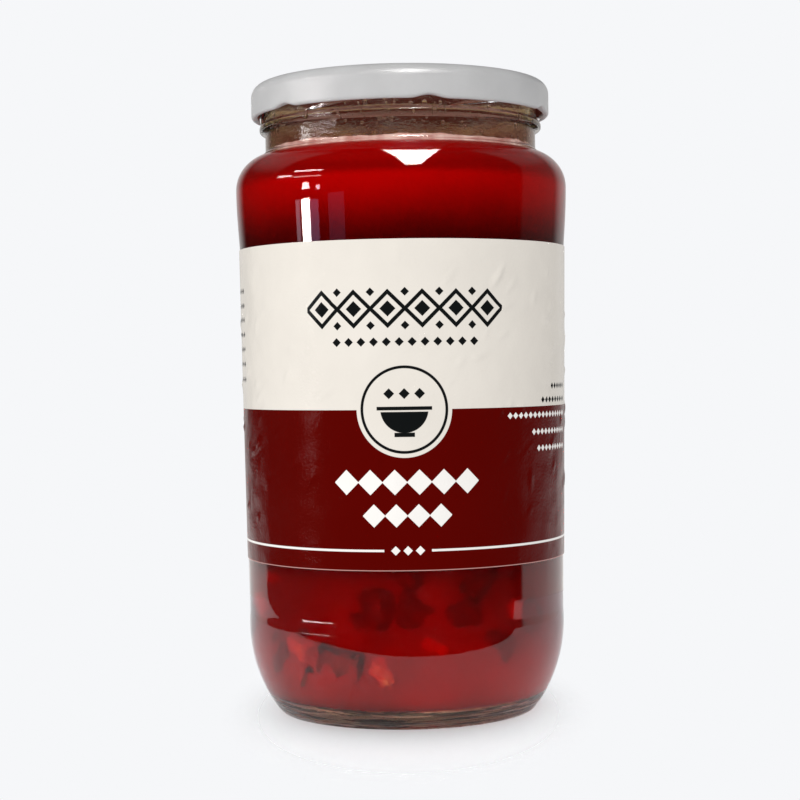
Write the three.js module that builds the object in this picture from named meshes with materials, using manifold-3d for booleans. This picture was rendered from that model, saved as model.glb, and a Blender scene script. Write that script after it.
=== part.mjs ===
// A shut one-litre glass jar of borscht, in millimetres, standing on z = 0 with its axis on Z.
// Four pieces: the blown glass jar, the twist-off cap, the soup that fills the jar up to the
// foot of its neck, and the paper label that wraps nearly all the way round.
// The front of the jar, the middle of the label, faces -Y.

import * as THREE from 'three';
import { mergeVertices } from 'three/addons/utils/BufferGeometryUtils.js';
import Module from 'manifold-3d';

// ---- driving dimensions ----

const JAR_FACETS = 60;

// glass, from the table up
const WALL = 2.5;
const FOOT_RING = { inner: 35.8, outer: 38.2, chamferTop: 2.0 };
const PUSH_UP = { rise: 3.0, step: 1.0 };
const FLOOR = { radius: 36.6, height: 5.0, crown: 2.0, cornerAcross: 2.2, cornerUp: 0.9, cornerTop: 8.0 };
const HEEL = { radius: 47.05, height: 25.9, curve: 42.8 };
const HEEL_STEP = { bottom: 27.5, top: 28.9 };
const PANEL = { bottomRadius: 46.93, topRadius: 48.3, top: 136.9 };
const BULGE = { middleRadius: 49.0, middleHeight: 147.0, radius: 49.16, height: 154.3 };
const SHOULDER = { across: 10.7, up: 10.55, innerAcross: 8.6, innerUp: 8.2, endDeg: 76 };
const NECK = { radius: 40.25, fillet: 1.15, bore: 37.6, boreFoot: 163.7 };
const BEAD = { radius: 41.95, bottom: 171.2, top: 173.6, slope: 0.45 };
const FINISH = { radius: 40.6, top: 184.6, round: 0.9 };

// six short threads, each rising to the right, that the cap's lugs hook under
const THREAD = { count: 6, firstDeg: 18, spanDeg: 56, steps: 8, endFullness: 0.3 };
const THREAD_RIB = { startHeight: 174.0, slopeDeg: 8.5, tall: 1.4, crestShare: 0.7, proud: 1.2, root: 0.8 };

// soup: its level, the lip it stands up to in the neck, and the gap kept between it and the glass
const SOUP = { level: 163.4, lip: 0.4, gap: 0.3 };

// label: a thin band on the glass panel, its two ends a little apart at the back
const LABEL = { bottom: 45.6, top: 136.6, thickness: 0.17, offset: 0.1, halfWrapDeg: 174 };

// twist-off cap: pressed sheet, a ring raised over the rim, a curl rolled in at the edge
const CAP = { bottom: 175.5, top: 185.5, radius: 44.3, corner: 3.65, sheet: 0.5, curl: 0.9 };
const CAP_PANEL = { drop: 0.9, radius: 36.0, ringInner: 38.2 };
const CAP_BUTTON = { radius: 14.5, footRadius: 15.5, rise: 0.3 };
const LUG = { count: 6, firstDeg: 10.8, halfWidthDeg: 7.5, lift: 1.1, squash: 0.28, reach: 1.3, dent: 0.3 };
const CAP_STEPS_DEG = [-9, -6, -3, 0, 3, 6, 9, 16, 23, 30, 37, 44];

// a shallow dome still has three quarters of its rise half-way out from its middle
const DOME_AT_HALF = 0.75;

// ---- shapes ----

const degrees = THREE.MathUtils.degToRad;
const at = (radius, height) => new THREE.Vector2(radius, height);

// Part of an ellipse in a profile, 0 degrees outwards and 90 degrees up.
function arc(centreRadius, centreHeight, across, up, fromDeg, toDeg, steps) {
  return Array.from({ length: steps + 1 }, (_, i) => {
    const angle = degrees(fromDeg + ((toDeg - fromDeg) * i) / steps);
    return at(centreRadius + across * Math.cos(angle), centreHeight + up * Math.sin(angle));
  });
}

// A profile turned about Z. Profiles run up the outside and back down the inside.
function turned(profile, facets) {
  return new THREE.LatheGeometry(profile, facets).rotateX(Math.PI / 2);
}

// Radius of the panel under the label, which widens slightly towards the shoulder.
function panelRadius(height) {
  const rise = (height - HEEL_STEP.top) / (PANEL.top - HEEL_STEP.top);
  return THREE.MathUtils.lerp(PANEL.bottomRadius, PANEL.topRadius, rise);
}

// ---- glass jar ----

const heelCentre = HEEL.radius - HEEL.curve;

// Degrees below level at which a heel curve of this radius comes down to a height.
function heelTiltDeg(height, curve) {
  return THREE.MathUtils.radToDeg(Math.asin((HEEL.height - height) / curve));
}

function jarOutside() {
  const footTilt = heelTiltDeg(FOOT_RING.chamferTop, HEEL.curve);
  const shoulderCentre = BULGE.radius - SHOULDER.across;
  const filletHeight = BULGE.height + SHOULDER.up + NECK.fillet;
  const { across, up, endDeg } = SHOULDER;
  return [
    at(FOOT_RING.outer, 0),
    ...arc(heelCentre, HEEL.height, HEEL.curve, HEEL.curve, -footTilt, 0, 7),
    at(HEEL.radius, HEEL_STEP.bottom),
    at(PANEL.bottomRadius, HEEL_STEP.top),
    at(PANEL.topRadius, PANEL.top),
    at(BULGE.middleRadius, BULGE.middleHeight),
    ...arc(shoulderCentre, BULGE.height, across, up, 0, endDeg, 7),
    ...arc(NECK.radius + NECK.fillet, filletHeight, NECK.fillet, NECK.fillet, 180 + endDeg, 180, 2),
    at(NECK.radius, BEAD.bottom - BEAD.slope),
    at(BEAD.radius, BEAD.bottom + BEAD.slope),
    at(BEAD.radius, BEAD.top - BEAD.slope),
    at(FINISH.radius, BEAD.top + BEAD.slope),
    at(FINISH.radius, FINISH.top - FINISH.round),
    at(FINISH.radius - FINISH.round, FINISH.top),
  ];
}

// The wetted wall, from the neck down to the middle of the floor, moved in by a gap.
function jarInside(gap) {
  const shoulderCentre = BULGE.radius - WALL - SHOULDER.innerAcross;
  const across = SHOULDER.innerAcross - gap;
  const up = SHOULDER.innerUp - gap;
  const heelCurve = HEEL.curve - WALL - gap;
  const cornerTilt = heelTiltDeg(FLOOR.cornerTop, HEEL.curve - WALL);
  return [
    ...arc(shoulderCentre, BULGE.height, across, up, SHOULDER.endDeg, 0, 5),
    at(PANEL.topRadius - WALL - gap, PANEL.top),
    at(PANEL.bottomRadius - WALL - gap, HEEL_STEP.top),
    ...arc(heelCentre, HEEL.height, heelCurve, heelCurve, 0, -cornerTilt, 5),
    at(FLOOR.radius + FLOOR.cornerAcross - gap, FLOOR.height + FLOOR.cornerUp + gap),
    at(FLOOR.radius - gap, FLOOR.height + gap),
    at(FLOOR.radius / 2, FLOOR.height + FLOOR.crown * DOME_AT_HALF + gap),
    at(0, FLOOR.height + FLOOR.crown + gap),
  ];
}

function jarUnderside() {
  const footEdge = FOOT_RING.inner - PUSH_UP.step;
  return [
    at(0, PUSH_UP.rise),
    at(footEdge / 2, THREE.MathUtils.lerp(PUSH_UP.step, PUSH_UP.rise, DOME_AT_HALF)),
    at(footEdge, PUSH_UP.step),
    at(FOOT_RING.inner, 0),
  ];
}

// A closed bar bent round Z: each section is an angle and four corners, seen with the axis
// on the left, going round from the inner bottom corner to the outer bottom one and up.
function bentBar(sections) {
  const corners = sections.flatMap(({ angle, outline }) => outline.flatMap(
    (corner) => [corner.x * Math.sin(angle), -corner.x * Math.cos(angle), corner.y]));
  const faces = [[0, 1, 2, 0, 2, 3]];
  for (let start = 0; start < 4 * (sections.length - 1); start += 4) {
    for (let side = 0; side < 4; side += 1) {
      const near = start + side;
      const next = start + ((side + 1) % 4);
      faces.push([near, near + 4, next, next, near + 4, next + 4]);
    }
  }
  const end = 4 * (sections.length - 1);
  faces.push([end, end + 2, end + 1, end, end + 3, end + 2]);
  const bar = new THREE.BufferGeometry();
  bar.setAttribute('position', new THREE.Float32BufferAttribute(corners, 3));
  bar.setIndex(faces.flat());
  bar.computeVertexNormals();
  return bar;
}

// One thread, low and thin at both ends, its root sunk in the neck.
function threadRib(startDeg) {
  const climb = Math.tan(degrees(THREAD_RIB.slopeDeg)) * FINISH.radius;
  const root = FINISH.radius - THREAD_RIB.root;
  return bentBar(Array.from({ length: THREAD.steps + 1 }, (_, i) => {
    const along = i / THREAD.steps;
    const turn = degrees(THREAD.spanDeg * along);
    const isEnd = i === 0 || i === THREAD.steps;
    const fullness = isEnd ? THREAD.endFullness : 1;
    const middle = THREAD_RIB.startHeight + climb * turn;
    const half = (fullness * THREAD_RIB.tall) / 2;
    const crestHalf = half * THREAD_RIB.crestShare;
    const crest = FINISH.radius + fullness * THREAD_RIB.proud;
    return {
      angle: degrees(startDeg) + turn,
      outline: [at(root, middle - half), at(crest, middle - crestHalf),
        at(crest, middle + crestHalf), at(root, middle + half)],
    };
  }));
}

const wasm = await Module();
wasm.setup();

// A closed geometry as a solid that can be joined, its shared corners merged first.
function solid(geometry) {
  const bare = geometry.clone();
  bare.deleteAttribute('normal');
  bare.deleteAttribute('uv');
  const merged = mergeVertices(bare, 1e-4);
  return new wasm.Manifold(new wasm.Mesh({
    numProp: 3,
    vertProperties: new Float32Array(merged.attributes.position.array),
    triVerts: new Uint32Array(merged.index.array),
  }));
}

function asGeometry(manifold) {
  const mesh = manifold.getMesh();
  const geometry = new THREE.BufferGeometry();
  geometry.setAttribute('position', new THREE.BufferAttribute(mesh.vertProperties, 3));
  geometry.setIndex(new THREE.BufferAttribute(mesh.triVerts, 1));
  geometry.computeVertexNormals();
  return geometry;
}

function glassJar() {
  const bore = [at(NECK.bore + FINISH.round / 2, FINISH.top),
    at(NECK.bore, FINISH.top - FINISH.round),
    at(NECK.bore, NECK.boreFoot)];
  const profile = [...jarUnderside(), ...jarOutside(), ...bore, ...jarInside(0)];
  let jar = solid(turned(profile, JAR_FACETS));
  for (let i = 0; i < THREAD.count; i += 1) {
    const startDeg = THREAD.firstDeg + (i * 360) / THREAD.count;
    jar = jar.add(solid(threadRib(startDeg)));
  }
  return asGeometry(jar);
}

// ---- soup ----

function soup() {
  const fromFloorUp = jarInside(SOUP.gap).reverse();
  const neckRadius = NECK.bore - SOUP.gap;
  const surface = [at(neckRadius, SOUP.level - SOUP.lip), at(neckRadius, SOUP.level),
    at(0, SOUP.level)];
  return turned([...fromFloorUp, ...surface], JAR_FACETS);
}

// ---- label ----

function label() {
  const facetDeg = 360 / JAR_FACETS;
  const steps = Math.round((2 * LABEL.halfWrapDeg) / facetDeg);
  const inner = (height) => at(panelRadius(height) + LABEL.offset, height);
  const outer = (height) => at(panelRadius(height) + LABEL.offset + LABEL.thickness, height);
  const outline = [inner(LABEL.bottom), outer(LABEL.bottom), outer(LABEL.top), inner(LABEL.top)];
  return bentBar(Array.from({ length: steps + 1 }, (_, i) => (
    { angle: degrees(-LABEL.halfWrapDeg + i * facetDeg), outline })));
}

// ---- cap ----

function capProfile() {
  const { top, bottom, radius, corner, sheet, curl } = CAP;
  const panel = top - CAP_PANEL.drop;
  const button = panel + CAP_BUTTON.rise;
  return [
    at(0, button - sheet),
    at(CAP_BUTTON.radius, button - sheet),
    at(CAP_BUTTON.footRadius, panel - sheet),
    at(CAP_PANEL.radius, panel - sheet),
    at(CAP_PANEL.ringInner, top - sheet),
    ...arc(radius - corner, top - corner, corner - sheet, corner - sheet, 90, 0, 3),
    at(radius - sheet, bottom + 2 * curl),
    ...arc(radius - curl, bottom + curl, curl, curl, 135, 360, 5),
    ...arc(radius - corner, top - corner, corner, corner, 0, 90, 5),
    at(CAP_PANEL.ringInner, top),
    at(CAP_PANEL.radius, panel),
    at(CAP_BUTTON.footRadius, panel),
    at(CAP_BUTTON.radius, button),
    at(0, button),
  ];
}

// The curl is pressed up and in at six places, which leaves the lugs inside the cap.
// The facets are gathered at the lugs, so each one moves to its place in CAP_STEPS_DEG.
function cap() {
  const steps = CAP_STEPS_DEG.length;
  const facets = LUG.count * steps;
  const geometry = turned(capProfile(), facets);
  const point = geometry.attributes.position;
  for (let i = 0; i < point.count; i += 1) {
    const turns = Math.atan2(point.getX(i), -point.getY(i)) / (2 * Math.PI);
    const facet = Math.round((turns + 1) * facets) % facets;
    const fromLug = CAP_STEPS_DEG[facet % steps];
    const lugDeg = LUG.firstDeg + Math.floor(facet / steps) * (360 / LUG.count);
    const angle = degrees(lugDeg + fromLug);
    const aside = Math.min(1, Math.abs(fromLug) / LUG.halfWidthDeg);
    const pressed = Math.cos((Math.PI / 2) * aside) ** 2;
    let radius = Math.hypot(point.getX(i), point.getY(i));
    let height = point.getZ(i);
    const aboveEdge = height - CAP.bottom;
    if (aboveEdge < 2 * CAP.curl + 0.01) {
      const isInside = radius < CAP.radius - CAP.curl - 0.01;
      height = CAP.bottom + LUG.lift * pressed + aboveEdge * (1 - LUG.squash * pressed);
      radius -= pressed * (isInside ? LUG.reach : LUG.dent);
    }
    point.setXYZ(i, radius * Math.sin(angle), -radius * Math.cos(angle), height);
  }
  return geometry;
}

// ---- the object ----

const finishes = {
  glass: new THREE.MeshStandardMaterial({ color: 0xdfe6e0, roughness: 0.05, transparent: true,
    opacity: 0.35 }),
  borscht: new THREE.MeshStandardMaterial({ color: 0x6e0602, roughness: 0.35 }),
  printedPaper: new THREE.MeshStandardMaterial({ color: 0xeee6dc, roughness: 0.45 }),
  silverCap: new THREE.MeshStandardMaterial({ color: 0xc9c9cb, roughness: 0.4, metalness: 0.8 }),
};

function piece(name, geometry, material) {
  const mesh = new THREE.Mesh(geometry, material);
  mesh.name = name;
  return mesh;
}

const jarOfBorscht = new THREE.Group();
jarOfBorscht.add(
  piece('glass_jar', glassJar(), finishes.glass),
  piece('soup', soup(), finishes.borscht),
  piece('label', label(), finishes.printedPaper),
  piece('cap', cap(), finishes.silverCap),
);

export default jarOfBorscht;
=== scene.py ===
# %% [markdown]
# # A shut jar of borscht
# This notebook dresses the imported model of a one-litre twist-off jar. The model gives the sizes and
# stays where it is. Blender adds what the eye looks for: clear glass that bends light, a red liquid
# with vegetables sunk in it, drops in the neck, a printed paper label and a satin metal cap.
# The cells run from top to bottom. The jar's lengths are written in millimetres, and MM turns them
# into metres. The room, the table and the heights inside materials are in metres.

import math
import random

import bpy
from mathutils import Matrix, Vector


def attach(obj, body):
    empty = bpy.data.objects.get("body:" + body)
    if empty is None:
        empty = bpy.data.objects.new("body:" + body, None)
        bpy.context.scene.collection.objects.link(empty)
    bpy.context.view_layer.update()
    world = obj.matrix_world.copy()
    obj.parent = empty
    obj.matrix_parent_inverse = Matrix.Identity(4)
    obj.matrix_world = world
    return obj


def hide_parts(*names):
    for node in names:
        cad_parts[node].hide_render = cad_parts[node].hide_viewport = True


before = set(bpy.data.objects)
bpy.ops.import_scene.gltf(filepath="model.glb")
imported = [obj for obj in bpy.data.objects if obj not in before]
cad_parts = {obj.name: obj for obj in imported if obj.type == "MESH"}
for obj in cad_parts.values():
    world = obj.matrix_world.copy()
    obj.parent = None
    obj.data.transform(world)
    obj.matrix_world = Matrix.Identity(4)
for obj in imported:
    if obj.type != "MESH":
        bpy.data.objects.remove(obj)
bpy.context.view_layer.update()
scene = bpy.context.scene
MM = 0.001
print("solids:", sorted(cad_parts))

# %% [markdown]
# ## The camera
# The jar is seen from the front, a little above the middle of its height, with a long lens, so that
# its sides stay nearly upright. The camera comes first, because every later choice is judged
# through it. It looks along +Y, tips down slightly and leans by less than a degree.

# %% The camera
EYE = Vector((-1.16, -533.4, 102.3)) * MM
LENS_MM = 79.97
PITCH_DOWN_DEG = 1.15
LEAN_DEG = -0.80

camera_data = bpy.data.cameras.new("camera")
camera_data.sensor_width = 36
camera_data.lens = LENS_MM
camera = bpy.data.objects.new("camera", camera_data)
scene.collection.objects.link(camera)
camera.matrix_world = (
    Matrix.Translation(EYE)
    @ Matrix.Rotation(math.radians(90 - PITCH_DOWN_DEG), 4, "X")
    @ Matrix.Rotation(math.radians(LEAN_DEG), 4, "Z")
)
scene.camera = camera
scene.view_settings.view_transform = "Standard"
print("camera", round(EYE.length / MM), "mm from the foot of the jar")

# %% [markdown]
# ## Helpers for turned shapes
# Glass, soup, label and cap are all turned, as on a wheel. Such a shape needs only half of its
# outline. The outline is drawn by extruding one point after another, and Spin turns it about Z.
# A Screw modifier would do the same. Spin is used because its result can be edited at once.

# %% Helpers: selecting, copying and joining
FRONT_DEG = -90
SMOOTH_DEG = 35.0


def mode(kind):
    bpy.ops.object.mode_set(mode=kind)


def select_mesh():
    bpy.ops.mesh.select_all(action="SELECT")


def deselect_all():
    if bpy.context.object is not None and bpy.context.object.mode != "OBJECT":
        mode("OBJECT")
    bpy.ops.object.select_all(action="DESELECT")


def face_outwards():
    """Points the faces outwards and leaves edit mode."""
    select_mesh()
    bpy.ops.mesh.normals_make_consistent(inside=False)
    mode("OBJECT")


def smooth(degrees=SMOOTH_DEG):
    bpy.ops.object.shade_smooth_by_angle(angle=math.radians(degrees))


def about_z(radians):
    return Matrix.Rotation(radians, 4, "Z")


def round_axis(radius, radians, height):
    """A point given by its radius, its turn about Z and its height, in millimetres."""
    return Vector((radius * math.cos(radians), radius * math.sin(radians), height)) * MM


def twin(original):
    """A copy with a mesh of its own."""
    copy = original.copy()
    copy.data = original.data.copy()
    scene.collection.objects.link(copy)
    return copy


def joined(pieces, name):
    """Joins the pieces into one with that name."""
    deselect_all()
    for piece in pieces:
        piece.select_set(True)
    bpy.context.view_layer.objects.active = pieces[0]
    bpy.ops.object.join()
    whole = bpy.context.object
    whole.name = whole.data.name = name
    return whole


# %% Helpers: drawing and spinning an outline
WELD = 0.002 * MM


def arc(centre, across, up, from_deg, to_deg, steps):
    """Points on part of an ellipse in an outline, 0 degrees outwards and 90 degrees up."""
    turns = [math.radians(from_deg + (to_deg - from_deg) * i / steps) for i in range(steps + 1)]
    return [(centre[0] + across * math.cos(t), centre[1] + up * math.sin(t)) for t in turns]


def draw_outline(name, points):
    """Draws a line of (radius, height) points, in millimetres, and leaves it in edit mode."""
    deselect_all()
    bpy.ops.mesh.primitive_plane_add(size=MM)
    outline = bpy.context.object
    outline.name = outline.data.name = name
    mode("EDIT")
    bpy.ops.mesh.select_mode(type="VERT")
    select_mesh()
    bpy.ops.mesh.merge(type="CENTER")
    bpy.ops.transform.translate(value=(points[0][0] * MM, 0, points[0][1] * MM))
    for (radius, height), (next_radius, next_height) in zip(points, points[1:]):
        step = ((next_radius - radius) * MM, 0, (next_height - height) * MM)
        bpy.ops.mesh.extrude_region_move(TRANSFORM_OT_translate={"value": step})
    return outline


def spin(steps, degrees=360.0):
    select_mesh()
    bpy.ops.mesh.spin(steps=steps, angle=math.radians(degrees), center=(0, 0, 0), axis=(0, 0, 1))
    select_mesh()


def turn(outline, steps, smooth_deg=SMOOTH_DEG):
    """Spins the outline about Z, welds it, points its faces outwards and smooths it."""
    select_mesh()
    bpy.ops.mesh.remove_doubles(threshold=WELD)
    spin(steps)
    bpy.ops.mesh.remove_doubles(threshold=WELD)
    face_outwards()
    smooth(smooth_deg)
    print(outline.name, len(outline.data.polygons), "faces")
    return outline


# %% [markdown]
# ## Helpers for materials
# Every material is a Principled BSDF whose inputs are fed by small patterns. Two patterns turn up
# again and again, so each is a node group: Mottle blends two colours by cloudy noise, and Ripple
# gives a height for a Bump node. Both read Object coordinates, which stay fixed to the piece.

# %% Helpers: nodes
def new_group(name, inputs, outputs):
    """A shader node group whose sockets are given as (name, kind, default)."""
    group = bpy.data.node_groups.new(name, "ShaderNodeTree")
    for label, kind, default in inputs:
        socket = group.interface.new_socket(label, in_out="INPUT", socket_type="NodeSocket" + kind)
        if default is not None:
            socket.default_value = default
    for label, kind in outputs:
        group.interface.new_socket(label, in_out="OUTPUT", socket_type="NodeSocket" + kind)
    return group, group.nodes.new("NodeGroupInput"), group.nodes.new("NodeGroupOutput")


def feed(tree, socket, value):
    """Links an output to an input, or sets the input's own value. Colours are red, green, blue."""
    if isinstance(value, bpy.types.NodeSocket):
        tree.links.new(value, socket)
    else:
        socket.default_value = (*value, 1.0) if socket.type == "RGBA" else value


def add(tree, kind, feeds=(), **settings):
    """A new shader node with its settings. Feeds are (socket, value) pairs for its inputs."""
    node = tree.nodes.new("ShaderNode" + kind)
    for label, value in settings.items():
        setattr(node, label, value)
    for key, value in feeds:
        feed(tree, node.inputs[key], value)
    return node


def calc(tree, operation, *values):
    """A Math node."""
    return add(tree, "Math", enumerate(values), operation=operation).outputs[0]


def vector_calc(tree, operation, *values):
    """A Vector Math node. Lengths and dot products come out as numbers."""
    outputs = add(tree, "VectorMath", enumerate(values), operation=operation).outputs
    return outputs["Value" if operation in ("LENGTH", "DOT_PRODUCT") else "Vector"]


def axes_of(tree, vector):
    return add(tree, "SeparateXYZ", [(0, vector)]).outputs


def noise(tree, vector, scale, detail):
    feeds = (("Vector", vector), ("Scale", scale), ("Detail", detail))
    return add(tree, "TexNoise", feeds).outputs["Fac"]


def ranged(tree, value, low, high, to_low=0.0, to_high=1.0):
    """Maps low..high smoothly to to_low..to_high."""
    feeds = zip(("Value", "From Min", "From Max", "To Min", "To Max"),
                (value, low, high, to_low, to_high))
    return add(tree, "MapRange", feeds, interpolation_type="SMOOTHSTEP").outputs["Result"]


def blend(tree, share, low, high, how="MIX"):
    """Blends two colours."""
    feeds = ((0, share), (6, low), (7, high))
    return add(tree, "Mix", feeds, data_type="RGBA", blend_type=how).outputs[2]


def mixed(tree, share, one, other):
    """Shows one shader where the share is 0 and the other where it is 1."""
    return add(tree, "MixShader", enumerate((share, one, other))).outputs[0]


def clear(tree):
    return add(tree, "BsdfTransparent").outputs[0]


def rgb(red, green, blue):
    """A colour given in screen numbers from 0 to 255, made linear."""
    def linear(part):
        part /= 255
        return part / 12.92 if part <= 0.04045 else ((part + 0.055) / 1.055) ** 2.4

    return linear(red), linear(green), linear(blue)


# %% The Mottle group
mottle, gives, takes = new_group(
    "Mottle",
    [("Vector", "Vector", None), ("Scale", "Float", 100.0), ("Low", "Color", None),
     ("High", "Color", None), ("Sharpness", "Float", 0.2)],
    [("Colour", "Color"), ("Mask", "Float")],
)
cloud = noise(mottle, gives.outputs["Vector"], gives.outputs["Scale"], detail=4.0)
mask = ranged(mottle, cloud, calc(mottle, "SUBTRACT", 0.5, gives.outputs["Sharpness"]),
              calc(mottle, "ADD", 0.5, gives.outputs["Sharpness"]))
mottle.links.new(blend(mottle, mask, gives.outputs["Low"], gives.outputs["High"]),
                 takes.inputs["Colour"])
mottle.links.new(mask, takes.inputs["Mask"])

# %% The Ripple group
ripple, gives, takes = new_group(
    "Ripple",
    [("Vector", "Vector", None), ("Broad Scale", "Float", 40.0), ("Fine Scale", "Float", 400.0),
     ("Fine Share", "Float", 0.2)],
    [("Height", "Float")],
)
broad = noise(ripple, gives.outputs["Vector"], gives.outputs["Broad Scale"], detail=1.0)
fine = noise(ripple, gives.outputs["Vector"], gives.outputs["Fine Scale"], detail=2.0)
scaled = calc(ripple, "MULTIPLY", fine, gives.outputs["Fine Share"])
ripple.links.new(calc(ripple, "ADD", broad, scaled), takes.inputs["Height"])
print("node groups:", [g.name for g in bpy.data.node_groups])


# %% Helpers: a new material and its patterns
def place_group(tree, group, **values):
    """Adds a group node. Underscores in the names stand for spaces."""
    feeds = [(label.replace("_", " "), value) for label, value in values.items()]
    return add(tree, "Group", feeds, node_tree=group)


def new_material(name, **settings):
    """A material with a Principled BSDF, its tree, its shader and its Object coordinates."""
    material = bpy.data.materials.new(name)
    material.use_nodes = True
    tree = material.node_tree
    shader = tree.nodes["Principled BSDF"]
    for label, value in settings.items():
        feed(tree, shader.inputs[label.replace("_", " ")], value)
    return material, tree, shader, add(tree, "TexCoord").outputs["Object"]


def clouded(tree, vector, scale, low, high, sharpness):
    return place_group(tree, mottle, Vector=vector, Scale=scale, Low=low, High=high,
                       Sharpness=sharpness).outputs


def colour_by_clouds(tree, shader, *pattern, sharpness):
    """Two colours in clouds as the base colour. It returns the mask of the clouds."""
    outputs = clouded(tree, *pattern, sharpness)
    tree.links.new(outputs["Colour"], shader.inputs["Base Color"])
    return outputs["Mask"]


def bump_by_ripples(tree, shader, vector, broad, fine, share, depth_mm):
    waves = place_group(tree, ripple, Vector=vector, Broad_Scale=broad, Fine_Scale=fine,
                        Fine_Share=share)
    feeds = (("Height", waves.outputs["Height"]), ("Distance", depth_mm * MM), ("Strength", 1.0))
    tree.links.new(add(tree, "Bump", feeds).outputs["Normal"], shader.inputs["Normal"])


def show(tree, output):
    tree.links.new(output, tree.nodes["Material Output"].inputs["Surface"])


def let_light_in(tree, shader):
    """Light for the inside goes straight through the shader, which keeps it free of noise."""
    rays = add(tree, "LightPath").outputs
    shown = shader.outputs[0]
    for ray in ("Is Shadow Ray", "Is Diffuse Ray"):
        shown = mixed(tree, rays[ray], shown, clear(tree))
    show(tree, shown)


def finish_piece(piece, slot, *nodes, skin=None):
    """The piece gets its skin, rides on the one body and stands for its solids. Its slot is not used.
    """
    if skin is not None:
        piece.data.materials.append(skin)
    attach(piece, "root")
    if nodes:
        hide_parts(*nodes)


def where(face):
    """How far a face looks away from the axis, its radius and its height in millimetres."""
    outwards = Vector((face.center.x, face.center.y, 0)).normalized()
    radius = math.hypot(face.center.x, face.center.y) / MM
    return face.normal.dot(outwards), radius, face.center.z / MM


# %% [markdown]
# ## The glass jar
# A real jar of this kind is blown in a mould. Its wall is about 2.5 mm thick. From the table up it
# has a foot ring with a pushed-up base inside it, a rounded heel, a panel that is set back a little
# for the label, a bulge, a shoulder, a neck, a bead ring and a rim with six short threads.
# The outline runs up the outside and down the inside, so one Spin makes the wall with both faces.

# %% The sizes of the glass
TURN_STEPS = 144
WALL = 2.5
FOOT = {"inner": 35.8, "outer": 38.2, "round": 0.7, "heel_from": 2.0}
PUSH_UP = {"rise": 3.0, "step": 1.0}
FLOOR = {"radius": 36.6, "height": 5.0, "crown": 2.0, "corner": (38.8, 5.9), "corner_top": 8.0}
HEEL = {"radius": 47.05, "height": 25.9, "curve": 42.8}
STEP = {"bottom": 28.0, "top": 29.9, "edge": 0.25, "round": 0.02}
PANEL = {"bottom_radius": 46.93, "top_radius": 48.3, "top": 136.9}
BULGE = {"radius": 49.16, "height": 154.3, "start_slope": 0.07}
SHOULDER = {"across": 10.7, "up": 10.55, "inner_across": 8.6, "inner_up": 8.2, "end_deg": 76}
NECK = {"radius": 40.25, "fillet": 1.15, "bore": 37.6, "bore_foot": 163.7}
BEAD = {"radius": 41.95, "bottom": 171.2, "top": 173.6, "slope": 0.45, "round": 0.95}
RIM = {"radius": 40.6, "top": 184.6, "round": 0.9}
heel_centre = HEEL["radius"] - HEEL["curve"]


def heel_tilt_deg(height, curve):
    return math.degrees(math.asin((HEEL["height"] - height) / curve))


def swell(height):
    """Outer radius between the label panel and the shoulder, a curve with a slope at its foot."""
    rise = BULGE["height"] - PANEL["top"]
    along = (height - PANEL["top"]) / rise
    eased = along * along * (3 - 2 * along)
    lift = along * (1 - along) ** 2 * rise * BULGE["start_slope"]
    return PANEL["top_radius"] + (BULGE["radius"] - PANEL["top_radius"]) * eased + lift


# %% The outline of the glass
def outer_outline():
    tilt = heel_tilt_deg(FOOT["heel_from"], HEEL["curve"])
    shoulder = (BULGE["radius"] - SHOULDER["across"], BULGE["height"])
    fillet = NECK["fillet"]
    corner = (NECK["radius"] + fillet, BULGE["height"] + SHOULDER["up"] + fillet)
    foot = (FOOT["outer"] - FOOT["round"] / 2, FOOT["round"])
    rise = BULGE["height"] - PANEL["top"]
    heel, panel, edge = HEEL["radius"], PANEL["bottom_radius"], STEP["edge"]
    bead, bead_round = BEAD["radius"] - BEAD["round"], BEAD["round"]
    return [
        *arc(foot, FOOT["round"], FOOT["round"], -90, -40, 4),
        *arc((heel_centre, HEEL["height"]), HEEL["curve"], HEEL["curve"], -tilt, 0, 22),
        (heel, STEP["bottom"] - 3 * edge),
        (heel, STEP["bottom"] - edge),
        (heel - STEP["round"], STEP["bottom"] + edge),
        (panel + STEP["round"], STEP["top"] - edge),
        (panel + 0.002, STEP["top"] + edge),
        (panel + 0.006, STEP["top"] + 3 * edge),
        *[(panel + (PANEL["top_radius"] - panel) * i / 12,
           STEP["top"] + (PANEL["top"] - STEP["top"]) * i / 12) for i in range(1, 13)],
        *[(swell(PANEL["top"] + rise * i / 8), PANEL["top"] + rise * i / 8) for i in range(1, 8)],
        *arc(shoulder, SHOULDER["across"], SHOULDER["up"], 0, SHOULDER["end_deg"], 20),
        *arc(corner, fillet, fillet, 180 + SHOULDER["end_deg"], 180, 6),
        (NECK["radius"], BEAD["bottom"] - BEAD["slope"] / 2),
        *arc((bead, BEAD["bottom"] + bead_round), bead_round, bead_round, -60, 0, 5),
        *arc((bead, BEAD["top"] - bead_round), bead_round, bead_round, 0, 60, 5),
        (RIM["radius"] + 0.1, BEAD["top"] + BEAD["slope"]),
        (RIM["radius"], BEAD["top"] + 2 * BEAD["slope"]),
        *arc((RIM["radius"] - RIM["round"], RIM["top"] - RIM["round"]),
             RIM["round"], RIM["round"], 0, 90, 5),
    ]


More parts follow.
